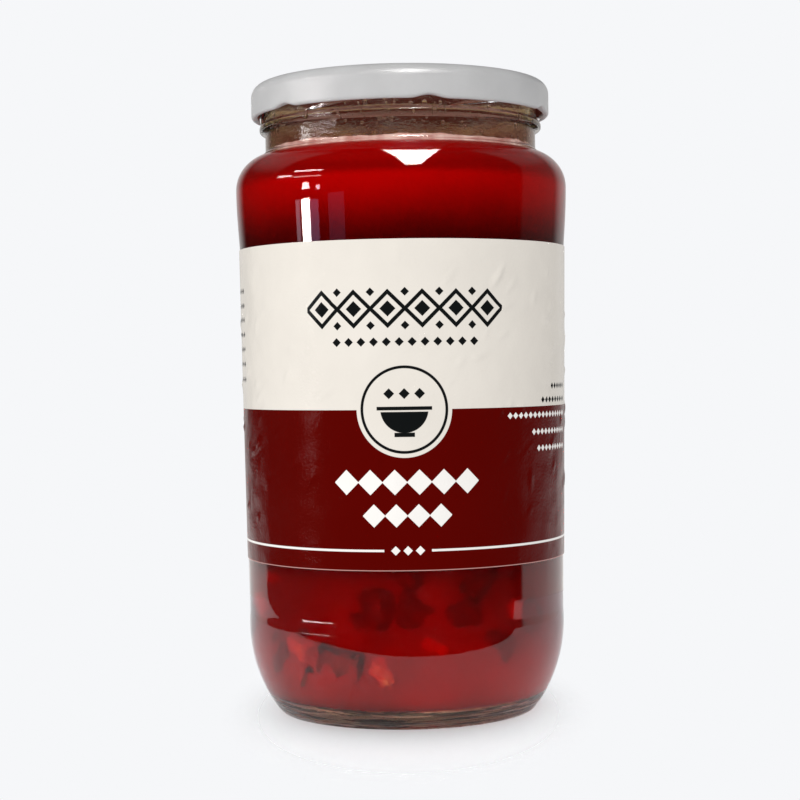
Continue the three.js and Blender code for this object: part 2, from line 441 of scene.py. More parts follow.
def inner_outline(gap):
    """The wetted wall from the neck down to the middle of the floor, moved in by a gap."""
    shoulder = (BULGE["radius"] - WALL - SHOULDER["inner_across"], BULGE["height"])
    across = SHOULDER["inner_across"] - gap
    up = SHOULDER["inner_up"] - gap
    curve = HEEL["curve"] - WALL - gap
    tilt = heel_tilt_deg(FLOOR["corner_top"], HEEL["curve"] - WALL)
    corner_radius, corner_height = FLOOR["corner"]
    return [
        *arc(shoulder, across, up, SHOULDER["end_deg"], 0, 14),
        (PANEL["top_radius"] - WALL - gap, PANEL["top"]),
        (PANEL["bottom_radius"] - WALL - gap, STEP["top"]),
        *arc((heel_centre, HEEL["height"]), curve, curve, 0, -tilt, 14),
        (corner_radius - gap, corner_height + gap),
        (FLOOR["radius"] - gap, FLOOR["height"] + gap),
        *[(FLOOR["radius"] * (1 - i / 6),
           FLOOR["height"] + FLOOR["crown"] * (1 - (1 - i / 6) ** 2) + gap) for i in range(1, 7)],
    ]


def under_outline():
    edge = FOOT["inner"] - PUSH_UP["step"]
    dome = [(edge * i / 5, PUSH_UP["rise"] + (PUSH_UP["step"] - PUSH_UP["rise"]) * (i / 5) ** 2)
            for i in range(6)]
    return [*dome, *arc((FOOT["inner"] + 0.5, 0.5), 0.5, 0.5, 180, 270, 3)]


bore = [*arc((NECK["bore"] + RIM["round"], RIM["top"] - RIM["round"]),
             RIM["round"], RIM["round"], 100, 180, 4),
        (NECK["bore"], NECK["bore_foot"])]
glass_points = [*under_outline(), *outer_outline(), *bore, *inner_outline(0)]
jar_glass = turn(draw_outline("jar_glass", glass_points), TURN_STEPS)

# %% [markdown]
# The ring that the jar stands on is notched all round, so that the hot glass doesn't slide on the
# conveyor. Every other column of the lowest points moves up a little.

# %% Notches in the foot ring
NOTCH = 0.35
ON_TABLE = 0.02
for vertex in jar_glass.data.vertices:
    column = round(math.degrees(math.atan2(vertex.co.y, vertex.co.x)) * TURN_STEPS / 360)
    if vertex.co.z / MM < ON_TABLE and column % 2:
        vertex.co.z += NOTCH * MM

# %% [markdown]
# ### Threads
# A twist-off jar has short slanting ribs instead of a full screw. Each one is a small block that is
# extruded step by step round the neck while it climbs, and thins out at its ends. One is modelled,
# six copies are turned round the axis, and a Boolean union melts them into the neck.

# %% One thread
THREAD = {"count": 6, "first_deg": 18, "span_deg": 56, "steps": 16}
RIB = {"start": 174.0, "slope_deg": 8.5, "tall": 1.4, "crest": 0.7, "proud": 1.2, "root": 0.8,
       "thin_end": 0.3, "swell": 5}


def rib_section(along):
    """Corners of the rib's section: thin at both ends, full between them."""
    end = min(1.0, RIB["thin_end"] + RIB["swell"] * min(along, 1 - along))
    climb = math.tan(math.radians(RIB["slope_deg"])) * RIM["radius"]
    middle = RIB["start"] + climb * math.radians(THREAD["span_deg"]) * along
    half = end * RIB["tall"] / 2
    root = RIM["radius"] - RIB["root"]
    crest = RIM["radius"] + end * RIB["proud"]
    lower = [(root, -half), (crest - 0.3 * end, -half * 0.95), (crest, -half * RIB["crest"] * 0.7)]
    upper = [(radius, -height) for radius, height in reversed(lower)]
    return [(radius, middle + height) for radius, height in (*lower, *upper)]


def model_rib():
    """A bar of bridged sections, one each few degrees round the neck."""
    rib = draw_outline("thread", rib_section(0.0))
    select_mesh()
    bpy.ops.mesh.edge_face_add()
    mode("OBJECT")
    corners = len(rib_section(0.0))
    for i in range(1, THREAD["steps"] + 1):
        mode("EDIT")
        bpy.ops.mesh.extrude_region_move()
        mode("OBJECT")
        angle = math.radians(THREAD["span_deg"] / THREAD["steps"] * i)
        newest = [v for v in rib.data.vertices if v.select][-corners:]
        for vertex, (radius, height) in zip(newest, rib_section(i / THREAD["steps"])):
            vertex.co = round_axis(radius, angle, height)
    mode("EDIT")
    face_outwards()
    return rib


# %% Melt six threads into the neck
rib = model_rib()
ribs = [twin(rib) for _ in range(THREAD["count"])]
for i, copy in enumerate(ribs):
    turn_deg = FRONT_DEG + THREAD["first_deg"] + 360 * i / THREAD["count"]
    copy.data.transform(about_z(math.radians(turn_deg)))
bpy.data.objects.remove(rib)
threads = joined(ribs, "threads")

deselect_all()
bpy.context.view_layer.objects.active = jar_glass
jar_glass.select_set(True)
join = jar_glass.modifiers.new("threads", "BOOLEAN")
join.operation = "UNION"
join.solver = "MANIFOLD"
join.object = threads
bpy.ops.object.modifier_apply(modifier=join.name)
bpy.data.objects.remove(threads)
smooth()
print("jar with threads:", len(jar_glass.data.polygons), "faces")

# %% [markdown]
# ### Clear glass
# Jar glass is faintly green and bends light by 1.5. Its surface is fire-polished but never quite
# flat, which makes reflections wobble. That is the slow ripple in the bump. The transmission weight
# stays a plain number, and the light that falls on the soup passes straight through.

# %% Material: glass
# The painted light and dark streaks on the foot are this many times finer than its ripples.
PAINTED_STREAKS_FINER = 1.6


def glass_material(name, wave_mm, broad=38.0, fine=160.0, share=0.05, stretch=(1, 1, 1), marks=None,
                   **settings):
    """Glass with waves of a depth and a scale. Stretch above 1 packs them closer along an axis."""
    look = {"Base_Color": (0.96, 0.985, 0.965), "Roughness": 0.0, "IOR": 1.5, **settings}
    material, tree, shader, place = new_material(name, Transmission_Weight=1.0, **look)
    packed = vector_calc(tree, "MULTIPLY", place, stretch)
    bump_by_ripples(tree, shader, packed, broad, fine, share, wave_mm)
    let_light_in(tree, shader)
    # Marks, where given, are two colours of painted streaks: painted light and shade.
    if marks is not None:
        colour_by_clouds(tree, shader, packed, PAINTED_STREAKS_FINER * broad, *marks, sharpness=0.04)
    return material


# %% [markdown]
# Four glasses differ in their skin. Where glass meets liquid hardly any light is thrown back,
# because the two bend light almost alike, so the wetted wall has no specular tint. The neck above
# the soup is misted. The foot's glass is rippled, and dark and light streaks are painted round it:
# painted light and shade that stand for the room seen through the thick base.

# %% Material: four glasses, and where each one is
SOUP_LEVEL = 163.4
MIST_ABOVE = 166.2
PAINTED_STREAKS_BELOW = 6.0
MARGIN = 0.1

jar_glass.data.materials.clear()
for glass in (
    glass_material("glass", wave_mm=0.07),
    glass_material("wetted glass", wave_mm=0.07, Specular_Tint=(0, 0, 0)),
    glass_material("misted glass", wave_mm=0.05, broad=600.0, fine=2400.0, share=0.3,
                   stretch=(1, 1, 2), Base_Color=(1.0, 0.90, 0.82)),
    # The foot: dark and light streaks in its colour are painted light and shade.
    glass_material("foot glass with painted streaks", wave_mm=0.75, broad=42.0, share=0.45, stretch=(1, 1, 16),
                   marks=((0.035, 0.035, 0.015), (1.0, 0.95, 0.58))),
):
    jar_glass.data.materials.append(glass)
counts = [0] * 4
for face in jar_glass.data.polygons:
    looks_out, radius, height = where(face)
    faces_in = looks_out < -0.05 or face.normal.z > 0.5
    in_body = radius < BULGE["radius"] - WALL + MARGIN and height > FLOOR["height"] - MARGIN
    if faces_in and in_body and height < SOUP_LEVEL:
        kind = 1
    elif height > MIST_ABOVE or (
            faces_in and radius < NECK["bore"] + MARGIN and height > SOUP_LEVEL):
        kind = 2
    else:
        kind = 3 if height < PAINTED_STREAKS_BELOW else 0
    face.material_index = kind
    counts[kind] += 1
print("faces of glass, wetted, misted, chilled:", counts)
finish_piece(jar_glass, "glass", "glass_jar")

# %% [markdown]
# ## The soup
# Borscht is a clear beetroot stock with vegetables that have sunk to the bottom. Red light goes a
# long way in it, green and blue are swallowed in a millimetre or two. So the liquid is a clear body
# with absorption, which reaches a hair into the glass so that no air gap shows. The cloudy depth
# that the eye can't see through is an opaque body inside it, and the vegetables lie between.

# %% The liquid
MENISCUS = {"rise": 0.9, "reach": 3.0}
INTO_GLASS = 0.15

neck_radius = NECK["bore"] + INTO_GLASS
surface = [(neck_radius, NECK["bore_foot"] - 0.8), (neck_radius, SOUP_LEVEL + MENISCUS["rise"]),
           *[(neck_radius - MENISCUS["reach"] * i / 4,
              SOUP_LEVEL + MENISCUS["rise"] * (1 - i / 4) ** 2) for i in range(1, 5)],
           (0, SOUP_LEVEL)]
floor_up = list(reversed(inner_outline(-INTO_GLASS)))
borscht = turn(draw_outline("borscht", [*floor_up, *surface]), TURN_STEPS)

liquid, tree, shader, _ = new_material(
    "beetroot stock", Base_Color=(1, 1, 1), Roughness=0.3, Transmission_Weight=1.0, IOR=1.33,
    Specular_Tint=(0, 0, 0))
let_light_in(tree, shader)
stain = add(tree, "VolumeAbsorption", (("Color", (0.956, 0.08, 0.06)), ("Density", 700.0)))
tree.links.new(stain.outputs[0], tree.nodes["Material Output"].inputs["Volume"])
finish_piece(borscht, "soup", "soup", skin=liquid)

# %% [markdown]
# Fat and froth float on the soup and climb the glass in a pale pink rim of uneven height.

# %% The froth
FROTH = {"low": 163.0, "film": 163.7, "high": 166.3, "thick": 1.3}
FROTH_WAVES = ((0.20, 7, 0.4), (0.12, 19, 2.0), (0.08, 43, 1.0))  # height, waves all round, start
FROTH_STEPS = 240
edge_radius = NECK["bore"] - 0.05
froth = turn(draw_outline("froth", [
    (0, FROTH["low"]), (edge_radius, FROTH["low"]), (edge_radius, FROTH["high"]),
    (edge_radius - 0.5 * FROTH["thick"], FROTH["high"] - 0.15),
    (edge_radius - FROTH["thick"], FROTH["film"] + 0.4),
    (edge_radius - 3 * FROTH["thick"], FROTH["film"]), (0, FROTH["film"])]), FROTH_STEPS)
for vertex in froth.data.vertices:
    around = math.atan2(vertex.co.x, -vertex.co.y)
    raised = max(0.0, (vertex.co.z / MM - FROTH["film"]) / (FROTH["high"] - FROTH["film"]))
    waves = [size * math.sin(times * around + start) for size, times, start in FROTH_WAVES]
    vertex.co.z += raised * sum(waves) * MM
foam, tree, shader, place = new_material("froth", Roughness=0.35)
colour_by_clouds(tree, shader, place, 260.0, (0.42, 0.16, 0.13), (0.86, 0.70, 0.64),
                 sharpness=0.25)
bump_by_ripples(tree, shader, place, broad=900.0, fine=2500.0, share=0.4, depth_mm=0.2)
finish_piece(froth, "soup", skin=foam)

# %% The cloudy depth
DEPTH_BELOW_WALL = 6.0
DEPTH_AT_FLOOR = 1.2
HEEL_STEPS = 12
DEPTH_STEPS = 96


def heel_of_depth():
    """Follows the inner wall's heel, close to it at the floor and further in at the panel."""
    lowest = heel_tilt_deg(FLOOR["corner_top"], HEEL["curve"] - WALL)
    points = []
    for i in range(HEEL_STEPS + 1):
        share = i / HEEL_STEPS
        gap = DEPTH_AT_FLOOR + (DEPTH_BELOW_WALL - DEPTH_AT_FLOOR) * share ** 1.5
        radius = HEEL["curve"] - WALL - gap
        angle = -math.radians(lowest * (1 - share))
        points.append((heel_centre + radius * math.cos(angle),
                       HEEL["height"] + radius * math.sin(angle)))
    return points


sides = [(radius, height) for radius, height in reversed(inner_outline(DEPTH_BELOW_WALL))
         if height > HEEL["height"] + 1.0]
bottom = [(0, 8.2), (18.3, 7.7), (34.0, 6.3), (36.5, 6.4), (37.9, 7.4)]
neck = [(34.8, 158.0), (33.8, 159.6), (33.6, 161.6), (32.8, 162.2), (0, 162.2)]
depth_points = [*bottom, *heel_of_depth(), *sides, *neck]
soup_depth = turn(draw_outline("soup_depth", depth_points), DEPTH_STEPS)

# %% [markdown]
# Daylight falls in through the shoulder, so the soup glows brighter there and dims below. The
# colour paints this by height: a painted glow under the shoulder, painted shade from a few
# centimetres up, and a lighter red at the bottom. Clouds of fine pulp break it up.

# %% Material: the cloudy depth, with painted glow and shade
# Heights in metres of the painted glow, and of the painted shade below it.
GLOW = (0.1395, 0.1580)
PAINTED_SHADE_HEIGHTS = (0.030, 0.075)
UNEVEN = 0.003
DIM_RED = (0.125, 0.002, 0.002)
BRIGHT_RED = (0.60, 0.009, 0.009)
cloudy, tree, shader, place = new_material("cloudy depth", Roughness=0.8)
clouds = clouded(tree, place, 40.0, (0.21, 0.003, 0.003), (0.35, 0.006, 0.005), sharpness=0.2)
uneven = calc(tree, "MULTIPLY", clouds["Mask"], UNEVEN)
height = calc(tree, "ADD", axes_of(tree, place)["Z"], uneven)
# Painted shade: the red darkens between 3 and 7.5 cm up.
painted_shade = blend(tree, ranged(tree, height, *PAINTED_SHADE_HEIGHTS), clouds["Colour"], DIM_RED)
# Painted glow: the red brightens under the shoulder.
glowing = blend(tree, ranged(tree, height, *GLOW), painted_shade, BRIGHT_RED)
tree.links.new(glowing, shader.inputs["Base Color"])
finish_piece(soup_depth, "soup", skin=cloudy)

# %% [markdown]
# ### Vegetables
# Beetroot and carrot are diced, cabbage is cut in strips. Cooking rounds their edges. One block of
# each kind is modelled from a cube with bevelled, shaken corners, then copied, each copy with its
# own size and turn, and set down by a seeded random draw in the ring between the depth and the
# glass. They lie thick at the bottom and thin out upwards, where the label hides them.

# %% One block of each kind
ROUNDED = 0.3


def soft_block(name, size, shake, seed):
    """A cooked piece: a block with rounded edges and uneven faces, size in millimetres."""
    deselect_all()
    bpy.ops.mesh.primitive_cube_add(size=1)
    block = bpy.context.object
    block.name = name
    mode("EDIT")
    select_mesh()
    bpy.ops.transform.resize(value=[side * MM for side in size])
    bpy.ops.mesh.bevel(offset=ROUNDED * min(size) * MM, segments=3, affect="EDGES")
    bpy.ops.mesh.subdivide(number_cuts=1)
    select_mesh()
    bpy.ops.transform.vertex_random(offset=shake * MM, uniform=0.6, normal=0.4, seed=seed)
    mode("OBJECT")
    bpy.ops.object.shade_smooth()
    return block


# %% Setting the blocks down
FLOOR_CLEAR = 7.4
START_RADIUS = 36
HEAP_FOOT = 9.0
FRONT_HALF_DEG = 70
FRONT_SUNK = (3.6, 5.0)
THIN_OUT = 1.4
GROWTH = (0.75, 1.2)
TILT_X, TILT_Y = 0.9, 0.6
draw = random.Random(11)


def wall_radius(height):
    """Inner radius of the glass at a height, read off the outline."""
    line = [p for p in reversed(inner_outline(0)) if p[1] >= FLOOR["corner"][1]]
    for (r0, z0), (r1, z1) in zip(line, line[1:]):
        if z0 <= height <= z1:
            return r0 + (r1 - r0) * (height - z0) / (z1 - z0)
    return line[-1][0]


def press_inside(mesh, outwards, depth):
    """Moves a piece along its radius until its outermost point lies that deep under the glass."""
    lowest = min(v.co.z for v in mesh.vertices) / MM
    mesh.transform(Matrix.Translation((0, 0, max(0.0, FLOOR_CLEAR - lowest) * MM)))
    for _ in range(3):
        over = max(math.hypot(v.co.x, v.co.y) / MM - wall_radius(v.co.z / MM)
                   for v in mesh.vertices)
        mesh.transform(Matrix.Translation(outwards * (-over - depth) * MM))


def scatter(name, block, kind):
    """Copies the block round the jar, just inside the glass, and joins the copies."""
    spots = list(kind["placed"])
    while len(spots) < kind["count"]:
        azimuth = draw.uniform(-180, 180)
        height = HEAP_FOOT + (kind["top"] - HEAP_FOOT) * draw.random() ** THIN_OUT
        sunk = draw.uniform(*(kind["sunk"] if abs(azimuth) > FRONT_HALF_DEG else FRONT_SUNK))
        spots.append((azimuth, height, draw.uniform(*GROWTH), sunk))
    copies = []
    for azimuth, height, grow, sunk in spots:
        copy = twin(block)
        around = math.radians(azimuth + FRONT_DEG)
        tumble = (Matrix.Rotation(draw.uniform(-TILT_X, TILT_X), 4, "X")
                  @ Matrix.Rotation(draw.uniform(-TILT_Y, TILT_Y), 4, "Y")
                  @ about_z(draw.uniform(0, kind["turn"])))
        spot = round_axis(START_RADIUS, around, height)
        copy.data.transform(Matrix.Translation(spot) @ about_z(around) @ tumble
                            @ Matrix.Scale(grow, 4))
        press_inside(copy.data, Vector((math.cos(around), math.sin(around), 0)), sunk)
        copies.append(copy)
    bpy.data.objects.remove(block)
    heap = joined(copies, name)
    print(name, kind["count"], "pieces,", len(heap.data.polygons), "faces")
    return heap


# %% [markdown]
# Near the front a few pieces are given one by one, as (azimuth, height, growth, depth under
# the glass), because there the eye can tell them apart. The rest is drawn at random.

# %% Vegetables: make, colour and place them
VEGETABLES = {
    "beetroot_dice": {
        "size": (11, 10, 9), "shake": 0.5, "count": 46, "sunk": (1.5, 4.5), "top": 60, "turn": 3.1,
        "colours": ((0.12, 0.005, 0.006), (0.22, 0.010, 0.010)),
        "placed": [(-13, 35, 1.35, 2.2), (-58, 19, 1.0, 1.3), (1, 45, 0.9, 2.0),
                   (24, 33, 1.0, 3.2), (40, 22, 1.1, 2.6), (58, 30, 1.0, 2.0)]},
    "carrot_dice": {
        "size": (10, 9, 6), "shake": 0.4, "count": 14, "sunk": (1.0, 4.0), "top": 46, "turn": 3.1,
        "colours": ((0.46, 0.14, 0.035), (0.58, 0.21, 0.05)),
        "placed": [(-12, 15, 1.6, 0.5), (-45, 23, 1.0, 1.0), (12, 24, 0.9, 3.4),
                   (33, 14, 0.9, 2.6)]},
    "cabbage_strips": {
        "size": (4, 14, 9), "shake": 1.3, "count": 14, "sunk": (0.2, 2.4), "top": 34, "turn": 0.4,
        "colours": ((0.14, 0.15, 0.08), (0.21, 0.23, 0.13)),
        "placed": [(-27, 19, 0.9, 1.6), (-38, 13, 0.7, 1.0), (30, 41, 0.7, 3.0)]},
}

for name, kind in VEGETABLES.items():
    heap = scatter(name, soft_block("one_" + name, kind["size"], kind["shake"], seed=3), kind)
    cooked, tree, shader, place = new_material(name.replace("_", " "), Roughness=0.55)
    colour_by_clouds(tree, shader, place, 320.0, *kind["colours"], sharpness=0.25)
    bump_by_ripples(tree, shader, place, broad=500.0, fine=1500.0, share=0.4, depth_mm=0.3)
    finish_piece(heap, "soup", skin=cooked)

# %% [markdown]
# ## Drops in the neck
# Warm soup leaves the headspace full of steam, which settles on the cold glass as drops. Each drop
# is a flattened ball stuck to the inner wall. A few hundred of them catch the light round the neck.

# %% Drops
DROPS = {"count": 620, "small": 0.22, "large": 0.85, "low": 165.4, "high": 183.0, "flat": 0.45,
         "tall": (0.9, 1.5)}

deselect_all()
bpy.ops.mesh.primitive_ico_sphere_add(subdivisions=2, radius=MM)
one_drop = bpy.context.object
drops = []
for _ in range(DROPS["count"]):
    copy = twin(one_drop)
    around = draw.uniform(0, 2 * math.pi)
    spot = round_axis(NECK["bore"], around, draw.uniform(DROPS["low"], DROPS["high"]))
    size = DROPS["small"] + (DROPS["large"] - DROPS["small"]) * draw.random() ** 3
    shape = Matrix.Diagonal((size * DROPS["flat"], size, size * draw.uniform(*DROPS["tall"]), 1))
    copy.data.transform(Matrix.Translation(spot) @ about_z(around) @ shape)
    drops.append(copy)
bpy.data.objects.remove(one_drop)
neck_drops = joined(drops, "neck_drops")
bpy.ops.object.shade_smooth()
print("neck_drops", len(neck_drops.data.polygons), "faces")

water, tree, shader, _ = new_material(
    "water", Base_Color=(1, 1, 1), Roughness=0.0, Transmission_Weight=1.0, IOR=1.33)
let_light_in(tree, shader)
finish_piece(neck_drops, "glass", skin=water)

# %% [markdown]
# ## The paper label
# The label is one strip of coated paper, stuck on by machine, with its two ends a little apart at
# the back. It is never quite smooth: small blisters and creases of trapped air show as soft ridges.
# The strip is a thin closed outline turned by 348 degrees, and the blisters are pushed out of its
# outer face, each one an oval with its own tilt.

# %% The strip of paper
LABEL = {"bottom": 45.6, "top": 136.6, "thickness": 0.17, "offset": 0.1, "half_wrap_deg": 174}
LABEL_ROWS = 110
LABEL_STEPS = 400


def panel_radius(height):
    along = (height - STEP["top"]) / (PANEL["top"] - STEP["top"])
    return PANEL["bottom_radius"] + (PANEL["top_radius"] - PANEL["bottom_radius"]) * along


def paper_outline():
    inner = LABEL["offset"]
    outer = inner + LABEL["thickness"]
    rise = LABEL["top"] - LABEL["bottom"]
    front = [LABEL["bottom"] + rise * i / LABEL_ROWS for i in range(LABEL_ROWS + 1)]
    return [(panel_radius(LABEL["bottom"]) + inner, LABEL["bottom"]),
            *[(panel_radius(height) + outer, height) for height in front],
            (panel_radius(LABEL["top"]) + inner, LABEL["top"])]


paper_label = draw_outline("paper_label", paper_outline())
select_mesh()
bpy.ops.mesh.edge_face_add()
spin(LABEL_STEPS, 2 * LABEL["half_wrap_deg"])
face_outwards()
middle = sum((v.co for v in paper_label.data.vertices), Vector())
paper_label.data.transform(about_z(math.radians(FRONT_DEG) - math.atan2(middle.y, middle.x)))
smooth()
print("paper_label", len(paper_label.data.polygons), "faces")

# %% Blisters
BLISTERS = {"count": 190, "long": (1.5, 5.0), "wide": (0.7, 1.5), "height": (0.12, 0.38)}
BLISTER_U = (-140, 140)
BLISTER_V = (48, 135, 118)  # lowest, highest, most common
BLISTER_TILT = (0.8, 0.35)
BUCKET = 5
PRINT_RADIUS = 47.7


def along_label(point):
    """Distance round the jar from the middle of the front, in millimetres."""
    return math.atan2(point.x, -point.y) * PRINT_RADIUS


outer_gap = LABEL["offset"] + LABEL["thickness"] / 2
buckets = {}
for vertex in paper_label.data.vertices:
    point = vertex.co / MM
    if math.hypot(point.x, point.y) > panel_radius(point.z) + outer_gap:
        buckets.setdefault(round(along_label(point) / BUCKET), []).append(vertex)
for _ in range(BLISTERS["count"]):
    middle_u, middle_v = draw.uniform(*BLISTER_U), draw.triangular(*BLISTER_V)
    half_long, half_wide = draw.uniform(*BLISTERS["long"]), draw.uniform(*BLISTERS["wide"])
    tilt, proud = draw.gauss(*BLISTER_TILT), draw.uniform(*BLISTERS["height"])
    near = round(middle_u / BUCKET)
    for vertex in [v for key in (near - 1, near, near + 1) for v in buckets.get(key, [])]:
        across = along_label(vertex.co) - middle_u
        up = vertex.co.z / MM - middle_v
        length = (across * math.cos(tilt) + up * math.sin(tilt)) / half_long
        width = (up * math.cos(tilt) - across * math.sin(tilt)) / half_wide
        away = length * length + width * width
        if away < 1:
            out = Vector((vertex.co.x, vertex.co.y, 0)).normalized()
            vertex.co += out * proud * (1 - away) ** 2 * MM
print(BLISTERS["count"], "blisters pressed into the label")

# %% [markdown]
# ### The print
# The label is two fields of colour, cream over beetroot, with a thin rule and a row of plain
# ornament where a maker would set its words. The ornament is the lozenge pattern of cross-stitch
# towels, and a round badge in the middle holds a bowl. All of it is worked out from two distances:
# U round the jar and V up it, both in millimetres.

# %% Where a point lies on the label
label_place, gives, takes = new_group(
    "Label Place", [("Vector", "Vector", None)], [("U", "Float"), ("V", "Float")])
axes = axes_of(label_place, gives.outputs["Vector"])
turned = calc(label_place, "ARCTAN2", axes["X"], calc(label_place, "MULTIPLY", axes["Y"], -1.0))
label_place.links.new(calc(label_place, "MULTIPLY", turned, PRINT_RADIUS), takes.inputs["U"])
label_place.links.new(calc(label_place, "MULTIPLY", axes["Z"], 1 / MM), takes.inputs["V"])

# %% Material: coated paper, and the shapes that its print is made of
CREAM = (0.715, 0.668, 0.60)
BEET = (0.088, 0.0014, 0.0006)
INK = (0.006, 0.007, 0.007)
PAPER_WHITE = (0.82, 0.79, 0.75)
CUT_EDGE = (0.50, 0.28, 0.25)
SPLIT = 89.9
SOFT = 0.06

paper, tree, shader, place = new_material("coated paper", Roughness=0.17, Specular_IOR_Level=0.2,
                                          Specular_Tint=(0, 0, 0))
spot = place_group(tree, label_place, Vector=place)
u, v = spot.outputs["U"], spot.outputs["V"]


def minus(a, b):
    return calc(tree, "SUBTRACT", a, b)


def inside(distance):
    """1 where a distance is below zero, with an edge as soft as ink on paper."""
    return ranged(tree, distance, -SOFT, SOFT, 1.0, 0.0)


def both(a, b):
    return calc(tree, "MULTIPLY", a, b)


def either(*marks):
    whole = marks[0]
    for mark in marks[1:]:
        whole = calc(tree, "MAXIMUM", whole, mark)
    return whole


def outside(a):
    return minus(1.0, a)


def off(value, centre):
    """Distance of a value from a centre."""
    return calc(tree, "ABSOLUTE", minus(value, centre))


def bar(centre_u, half_u, centre_v, half_v):
    return both(inside(minus(off(u, centre_u), half_u)), inside(minus(off(v, centre_v), half_v)))


def disc(centre_u, centre_v, radius):
    square = calc(tree, "ADD", calc(tree, "POWER", off(u, centre_u), 2.0),
                  calc(tree, "POWER", off(v, centre_v), 2.0))
    return inside(minus(calc(tree, "SQRT", square), radius))


def lozenges(centre_u, pitch, count, centre_v, size):
    """A row of lozenges: the first distance repeats every pitch."""
    shift = 0.0 if count % 2 else pitch / 2
    shifted = calc(tree, "ADD", minus(u, centre_u), shift)
    nearest = both(calc(tree, "ROUND", calc(tree, "DIVIDE", shifted, pitch)), pitch)
    leaning = calc(tree, "ADD", off(shifted, nearest), off(v, centre_v))
    return both(inside(minus(leaning, size)), inside(minus(off(u, centre_u), pitch * count / 2)))


# %% Print: the dark ornament on cream
band_of = (0.5, 9.4, 6, 117.6)
dark = either(
    both(lozenges(*band_of, 5.4), outside(lozenges(*band_of, 3.9))),
    lozenges(*band_of, 2.2),
    lozenges(0.5, 9.4, 5, 122.2, 1.2),
    lozenges(0.5, 9.4, 5, 113.0, 1.2),
    lozenges(0.6, 3.5, 12, 108.5, 1.25),
)

# %% Print: the badge with its bowl
badge = disc(0, SPLIT, 13.2)
dark_badge = either(
    both(disc(0, SPLIT, 12.1), outside(disc(0, SPLIT, 11.3))),
    both(disc(0, SPLIT + 0.2, 6.6), inside(minus(v, SPLIT - 0.6))),
    bar(0, 7.6, SPLIT + 0.35, 0.5),
    bar(0, 2.8, SPLIT - 6.9, 0.6),
    lozenges(0, 4.2, 3, SPLIT + 4.4, 1.5),
)

# %% Print: the white ornament on the beetroot field
white = either(
    lozenges(0.5, 6.8, 6, 70.0, 3.5),
    lozenges(0.5, 6.2, 4, 60.8, 3.2),
    both(bar(0, 200, 51.2, 0.32), outside(bar(0.5, 6.6, 51.2, 2.0))),
    lozenges(0.5, 3.4, 3, 51.2, 1.3),
)
field = inside(minus(v, SPLIT))


# %% Print: rows of small lozenges at both sides
ROW_PITCH = 2.1
ROW_SIZE = 0.95


def flush_rows(end_u, rows):
    """Rows of small lozenges, each as (height, half length), that end at one line on the right."""
    return either(*[lozenges(end_u - half, ROW_PITCH, round(2 * half / ROW_PITCH), row_v, ROW_SIZE)
                    for row_v, half in rows])


side_rows = flush_rows(64.1, ((95.6, 6.8), (91.7, 9.5), (87.5, 16.7), (82.7, 12.0), (78.0, 10.6)))
left_rows = flush_rows(-60.5, ((124.3, 12.6), (120.0, 15.7), (115.9, 10.5), (111.6, 14.7),
                               (107.3, 9.4), (103.0, 13.6), (98.5, 15.7)))
white = either(white, both(side_rows, field))
dark = either(dark, both(side_rows, outside(field)), left_rows)

# %% Print: a plain table of rules on the far side
TABLE_U, TABLE_V = 112.0, 113.0
frame_line = both(bar(TABLE_U, 18.0, TABLE_V, 16.0), outside(bar(TABLE_U, 17.6, TABLE_V, 15.6)))
rules = [bar(TABLE_U, 15.6, TABLE_V + 5.0 * step, 0.2) for step in range(-2, 3)]
dark = either(dark, frame_line, *rules)

# %% Print: put the inks on the paper
ink = CREAM
for where_it_is, colour in (
    (field, BEET),
    (both(dark, outside(badge)), INK),
    (both(white, outside(badge)), PAPER_WHITE),
    (badge, CREAM),
    (both(dark_badge, badge), INK),
    (bar(0, 200, LABEL["bottom"], 0.22), CUT_EDGE),
):
    ink = blend(tree, where_it_is, ink, colour)
aged = clouded(tree, place, 60.0, (0.95, 0.95, 0.95), (1, 1, 1), sharpness=0.3)
tree.links.new(blend(tree, 1.0, ink, aged["Colour"], "MULTIPLY"), shader.inputs["Base Color"])
bump_by_ripples(tree, shader, place, broad=120.0, fine=1400.0, share=0.15, depth_mm=0.4)
tree.links.new(ranged(tree, aged["Mask"], 0.0, 1.0, 0.15, 0.20), shader.inputs["Roughness"])
finish_piece(paper_label, "label", "label", skin=paper)

# %% [markdown]
# ## The twist-off cap
# The cap is pressed from thin tinplate. Its top has a ring raised over the rim of the glass and a
# safety button in the middle. Its skirt ends in a curl, rolled inwards, which a press dents at six
# places to make the lugs that hook under the threads.

# %% The cap's outline
CAP = {"bottom": 175.5, "top": 185.5, "radius": 44.3, "corner": 3.65, "sheet": 0.5, "curl": 0.9}
CAP_TOP = {"drop": 0.9, "radius": 36.0, "ring": 38.2, "button": 14.5, "button_foot": 15.5,
           "button_rise": 0.3}
CAP_STEPS = 216


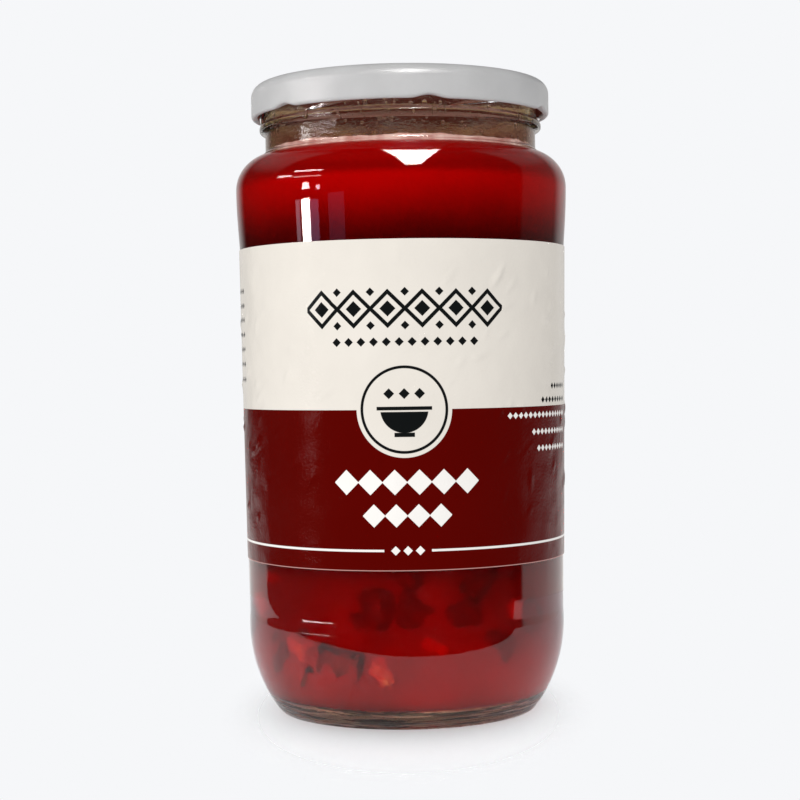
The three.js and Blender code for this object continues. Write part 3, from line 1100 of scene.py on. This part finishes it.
def cap_outline():
    top, radius, corner = CAP["top"], CAP["radius"], CAP["corner"]
    sheet, curl = CAP["sheet"], CAP["curl"]
    flat, ring = CAP_TOP["radius"], CAP_TOP["ring"]
    foot, dome = CAP_TOP["button_foot"], CAP_TOP["button"]
    panel = top - CAP_TOP["drop"]
    button = panel + CAP_TOP["button_rise"]
    centre = (radius - corner, top - corner)
    above_curl = CAP["bottom"] + 2 * curl
    under = [(0, button - sheet), (dome, button - sheet), (foot, panel - sheet),
             (flat, panel - sheet), (ring, top - sheet),
             *arc(centre, corner - sheet, corner - sheet, 90, 0, 9), (radius - sheet, above_curl)]
    rolled = arc((radius - curl, CAP["bottom"] + curl), curl, curl, 135, 360, 12)
    over = [(radius, above_curl), *arc(centre, corner, corner, 0, 90, 12),
            (ring + 0.5, top - 0.05), (ring - 0.4, top - 0.2),
            (flat + 0.4, panel + 0.15), (flat - 0.3, panel),
            (foot + 0.2, panel), (foot - 0.2, panel + 0.05),
            (dome + 0.1, button - 0.03), (dome - 0.5, button), (0, button)]
    return [*under, *rolled, *over]


twist_cap = turn(draw_outline("twist_cap", cap_outline()), CAP_STEPS, smooth_deg=40.0)

# %% The lugs
LUG = {"count": 6, "first_deg": 10.8, "half_deg": 7.5, "lift": 1.1, "squash": 0.28, "reach": 1.3,
       "dent": 0.3}
lug_every_deg = 360 / LUG["count"]
for vertex in twist_cap.data.vertices:
    point = vertex.co / MM
    above = point.z - CAP["bottom"]
    turned_deg = math.degrees(math.atan2(point.x, -point.y)) - LUG["first_deg"]
    from_lug = (turned_deg + lug_every_deg / 2) % lug_every_deg - lug_every_deg / 2
    if above < 2 * CAP["curl"] + 0.01 and abs(from_lug) < LUG["half_deg"]:
        pressed = math.cos(math.pi / 2 * from_lug / LUG["half_deg"]) ** 2
        radius = math.hypot(point.x, point.y)
        inner = radius < CAP["radius"] - CAP["curl"] - 0.01
        moved = radius - pressed * (LUG["reach"] if inner else LUG["dent"])
        height = CAP["bottom"] + LUG["lift"] * pressed + above * (1 - LUG["squash"] * pressed)
        vertex.co = Vector((point.x * moved / radius, point.y * moved / radius, height)) * MM

# %% Material: satin lacquer on tinplate
lacquer, tree, shader, place = new_material("satin lacquer", Metallic=0.11, Roughness=0.3,
                                            Specular_IOR_Level=0.2)
worn = colour_by_clouds(tree, shader, place, 70.0, (0.47, 0.465, 0.46), (0.53, 0.525, 0.52),
                        sharpness=0.3)
tree.links.new(ranged(tree, worn, 0.0, 1.0, 0.33, 0.39), shader.inputs["Roughness"])
bump_by_ripples(tree, shader, place, broad=90.0, fine=900.0, share=0.1, depth_mm=0.06)
twist_cap.data.materials.append(lacquer)

# %% Material: the inside of the cap
# The skirt's inside is lacquer whose dark red is partly its own and partly painted shade and a
# painted reflection of the soup. The underside of the top has a pinkish lining.
for name, metal, *colours in (
    ("brown lacquer", 0.2, (0.20, 0.040, 0.026), (0.38, 0.110, 0.072)),
    ("pinkish lining", 0.0, (0.42, 0.25, 0.20), (0.54, 0.36, 0.30)),
):
    inner_skin, tree, shader, place = new_material(name, Metallic=metal, Roughness=0.5)
    colour_by_clouds(tree, shader, place, 90.0, *colours, sharpness=0.3)
    twist_cap.data.materials.append(inner_skin)
for face in twist_cap.data.polygons:
    looks_out, radius, height = where(face)
    above_curl = height > CAP["bottom"] + 2 * CAP["curl"] - MARGIN
    looks_in = looks_out < -0.3 and face.normal.z < 0.1
    looks_down = face.normal.z < -0.5
    face.material_index = 2 if above_curl and looks_down else 1 if above_curl and looks_in else 0
finish_piece(twist_cap, "cap", "cap")

# %% [markdown]
# ## Stage and light
# The jar stands on a pale table that fades into the pale room. Clear glass and glossy paper show
# what is round them, so reflections see a room of their own: bright behind the jar, dark on the
# camera's side, with the table ending a short way in front. What is seen through the glass is a
# dim room too, and that gives the neck and the base their dark outlines.

# %% The table
TABLE_SEEN = (0.045, 0.115)
TABLE_MIRRORED = (0.270, 0.276)
LIT_UNDER_JAR = (0.034, 0.038)
CONTACT_SHADE = (0.036, 0.072)
TABLE_PALE = (0.87, 0.875, 0.885)
TABLE_SHADED = (0.66, 0.73, 0.73)
TABLE_GLOW = (0.8, 0.12)
TABLE_OVAL = (2.0, 1, 1)
TABLE_RADIUS = 0.4
deselect_all()
bpy.ops.mesh.primitive_circle_add(vertices=96, radius=TABLE_RADIUS, fill_type="NGON")
table = bpy.context.object
table.name = "table"
pale, tree, shader, place = new_material("pale table", Roughness=0.9, Emission_Color=(1, 1, 1))
oval_reach = vector_calc(tree, "LENGTH", vector_calc(tree, "MULTIPLY", place, TABLE_OVAL))
for_eye = ranged(tree, oval_reach, *TABLE_SEEN)
reach = vector_calc(tree, "LENGTH", place)
for_glass = ranged(tree, reach, *TABLE_MIRRORED)
glowing = ranged(tree, reach, *LIT_UNDER_JAR, *TABLE_GLOW)
tree.links.new(glowing, shader.inputs["Emission Strength"])
shaded = blend(tree, ranged(tree, reach, *CONTACT_SHADE), TABLE_SHADED, TABLE_PALE)
tree.links.new(shaded, shader.inputs["Base Color"])
in_gloss = add(tree, "LightPath").outputs["Is Glossy Ray"]
gone = add(tree, "Mix", ((0, in_gloss), (2, for_eye), (3, for_glass))).outputs[0]
show(tree, mixed(tree, gone, shader.outputs[0], clear(tree)))
table.data.materials.append(pale)


def only_in_gloss(thing):
    """The thing is seen in reflections and nowhere else, and lights nothing."""
    for kind in ("camera", "diffuse", "transmission", "shadow", "volume_scatter"):
        setattr(thing, "visible_" + kind, False)


# %% The dark side of the reflections
DARK_SIDE = [(-2000, 400), (-287, 127), (-245, 85), (-225, 15), (-205, -58), (-122, -107),
             (-59, -112), (-8, -107), (33, -102), (69, -94), (130, -77), (198, -60),
             (2000, -120), (2000, -2000), (-2000, -2000)]
GLINT = [(-211, -66), (-190, -109), (-165, -143), (-171, -149), (-199, -114), (-219, -68)]


def card_on_table(name, corners, height, radiance):
    deselect_all()
    bpy.ops.mesh.primitive_circle_add(vertices=len(corners), radius=1, fill_type="NGON")
    card = bpy.context.object
    card.name = name
    for vertex, (x, y) in zip(card.data.vertices, corners):
        vertex.co = Vector((x, y, height)) * MM
    card.data.materials.append(new_material(
        name, Base_Color=(0.004, 0.004, 0.004), Roughness=1.0, Emission_Color=(1, 0.97, 0.97),
        Emission_Strength=radiance)[0])
    only_in_gloss(card)


card_on_table("black_card", DARK_SIDE, height=0.4, radiance=0.0)
card_on_table("glint", GLINT, height=0.8, radiance=14.0)

# %% [markdown]
# The room is plain for the eye and for light, split for reflections, and dim through the glass.
# Walls for reflections are listed one by one, and the brightest wins.

# %% The room: helpers
world = bpy.data.worlds.new("room")
scene.world = world
world.use_nodes = True
world.cycles.sampling_method = "NONE"
sky = world.node_tree
way = add(sky, "TexCoord").outputs["Generated"]
height = axes_of(sky, way)["Z"]


def backdrop(colour, strength=1.0):
    return add(sky, "Background", (("Color", colour), ("Strength", strength))).outputs[0]


def towards(azimuth, half_deg, soft_deg):
    """1 for directions within half_deg of an azimuth, 0 for the rest."""
    a = math.radians(azimuth)
    along = vector_calc(sky, "DOT_PRODUCT", way, (math.sin(a), -math.cos(a), 0.0))
    edge = [math.cos(math.radians(half_deg + side * soft_deg)) for side in (1, -1)]
    return ranged(sky, along, *edge)


# %% The room: light in reflections
WALLS = (
    # azimuth, half width, softness, heights between which the light changes, light below and above
    (174, 36, 10, -0.10, -0.04, 0.80, 0.55),
    (138, 47, 2, -0.10, -0.045, 0.84, 0.10),
    (180, 60, 3, -0.11, -0.06, 0.95, 0.0),
    (180, 84, 3, 0.30, 0.60, 0.0, 0.28),
)
ROOM_FLOOR = (-0.170, -0.163)
ROOM_CEILING = (0.86, 0.94)
DARK_LEVEL = 0.012
lit = 0.0
for azimuth, half, soft, low, high, below, above in WALLS:
    wall = calc(sky, "MULTIPLY", towards(azimuth, half, soft),
                ranged(sky, height, low, high, below, above))
    lit = calc(sky, "MAXIMUM", lit, wall)
above_floor = ranged(sky, height, *ROOM_FLOOR)
below_ceiling = ranged(sky, height, *ROOM_CEILING, 1.0, 0.0)
lit = calc(sky, "MULTIPLY", lit, calc(sky, "MULTIPLY", above_floor, below_ceiling))
room_light = calc(sky, "ADD", lit, DARK_LEVEL)

# %% The room: colours through the glass, and which ray sees what
low_light = blend(sky, ranged(sky, height, -0.10, -0.02), rgb(175, 160, 118), rgb(72, 30, 23))
neck_light = blend(sky, ranged(sky, height, 0.06, 0.11), low_light, rgb(142, 100, 84))
high_light = blend(sky, ranged(sky, height, 0.35, 0.65), neck_light, rgb(168, 124, 110))
low_side = blend(sky, ranged(sky, height, -0.08, -0.03), rgb(86, 58, 48), rgb(70, 22, 17))
high_side = blend(sky, ranged(sky, height, 0.09, 0.15), low_side, rgb(150, 126, 108))
sideways = blend(sky, towards(180, 45, 15), high_side, high_light)

rays = add(sky, "LightPath").outputs
seen = backdrop(rgb(246, 247, 249))
for ray, room in (("Is Glossy Ray", backdrop((1.0, 0.98, 0.96), room_light)),
                  ("Is Transmission Ray", backdrop(sideways))):
    seen = mixed(sky, rays[ray], seen, room)
sky.links.new(seen, sky.nodes["World Output"].inputs["Surface"])

# %% [markdown]
# ### Windows and lamps
# A bright thing in the room is a glowing card that only reflections can see. It is given by the
# directions in which it lies, as azimuth and elevation in degrees: azimuth 0 is the camera's side,
# 90 the right and -90 the left. The cards stand ROOM metres from MIDDLE. One soft lamp lights
# paper, metal and soup.

# %% Glowing cards
ROOM = 2.0
MIDDLE = Vector((0, 0, 0.1))
CARDS = {
    "window": ((-71.2, -64.2), (-5.0, 2.9), 34.0, (1.0, 0.97, 0.95)),
    "window_frame": ((-76.0, -72.6), (-5.0, 2.8), 2.5, (1.0, 0.75, 0.90)),
    "window_haze": ((-64.2, -57.5), (-5.0, 2.4), 1.4, (0.7, 0.55, 1.0)),
    "window_slit": ((-58.9, -57.6), (-5.0, -0.6), 14.0, (1.0, 0.8, 0.95)),
    "far_window": ((-43.8, -42.8), (-5.0, -1.2), 2.5, (1.0, 0.8, 0.95)),
    "far_haze": ((-50.0, -38.5), (-5.0, 3.3), 0.35, (0.8, 0.55, 1.0)),
    "left_lamp": ((-70.0, -64.3), (4.8, 6.7), 22.0, (1.0, 0.97, 0.95)),
    "right_lamp": ((-58.9, -56.2), (4.4, 5.4), 14.0, (1.0, 0.8, 0.95)),
    "high_rail": ((-80.0, -56.0), (21.5, 25.5), 16.0, (1.0, 0.95, 0.93)),
    "low_rail": ((-77.3, -54.5), (9.6, 11.6), 9.0, (1.0, 0.85, 0.87)),
    "side_rail": ((-93.0, -80.0), (12.0, 15.6), 14.0, (1.0, 0.95, 0.93)),
}


def direction(azimuth, elevation):
    a, e = math.radians(azimuth), math.radians(elevation)
    return Vector((math.sin(a) * math.cos(e), -math.cos(a) * math.cos(e), math.sin(e)))


def glowing_card(name, corners, radiance, tint):
    deselect_all()
    bpy.ops.mesh.primitive_plane_add(size=1)
    card = bpy.context.object
    card.name = name
    for vertex, corner in zip(card.data.vertices, corners):
        vertex.co = MIDDLE + direction(*corner) * ROOM
    glow = new_material(name, Base_Color=(0, 0, 0), Roughness=1.0, Emission_Color=tint,
                        Emission_Strength=radiance)[0]
    glow.cycles.emission_sampling = "NONE"
    card.data.materials.append(glow)
    only_in_gloss(card)


for name, (azimuths, elevations, radiance, tint) in CARDS.items():
    glowing_card(name, [(a, e) for e in elevations for a in azimuths], radiance, tint)

# %% A softbox overhead, with a flag that keeps it off the cap, and the key lamp
SOFTBOX = ((3.0, 30.8), (14.6, 33.1), (-93.2, 82.0), (92.3, 75.2))
FLAG_RADIUS = 48
FLAG_SIDES = 48
KEY = {"size": 0.4, "energy": 5.2, "from": (-33, 12), "away": 1.2}

glowing_card("softbox", SOFTBOX, radiance=27.0, tint=(1, 0.99, 0.98))
flag_turns = [2 * math.pi * i / FLAG_SIDES for i in range(FLAG_SIDES)]
flag = [(FLAG_RADIUS * math.cos(t), FLAG_RADIUS * math.sin(t)) for t in flag_turns]
card_on_table("flag_over_cap", flag, height=CAP["top"] + 3.0, radiance=0.0)

lamp_data = bpy.data.lights.new("key", "AREA")
lamp_data.size = KEY["size"]
lamp_data.energy = KEY["energy"]
key = bpy.data.objects.new("key", lamp_data)
scene.collection.objects.link(key)
key.location = MIDDLE + direction(*KEY["from"]) * KEY["away"]
key.rotation_euler = direction(*KEY["from"]).to_track_quat("Z", "Y").to_euler()
key.visible_glossy = key.visible_camera = key.visible_transmission = False
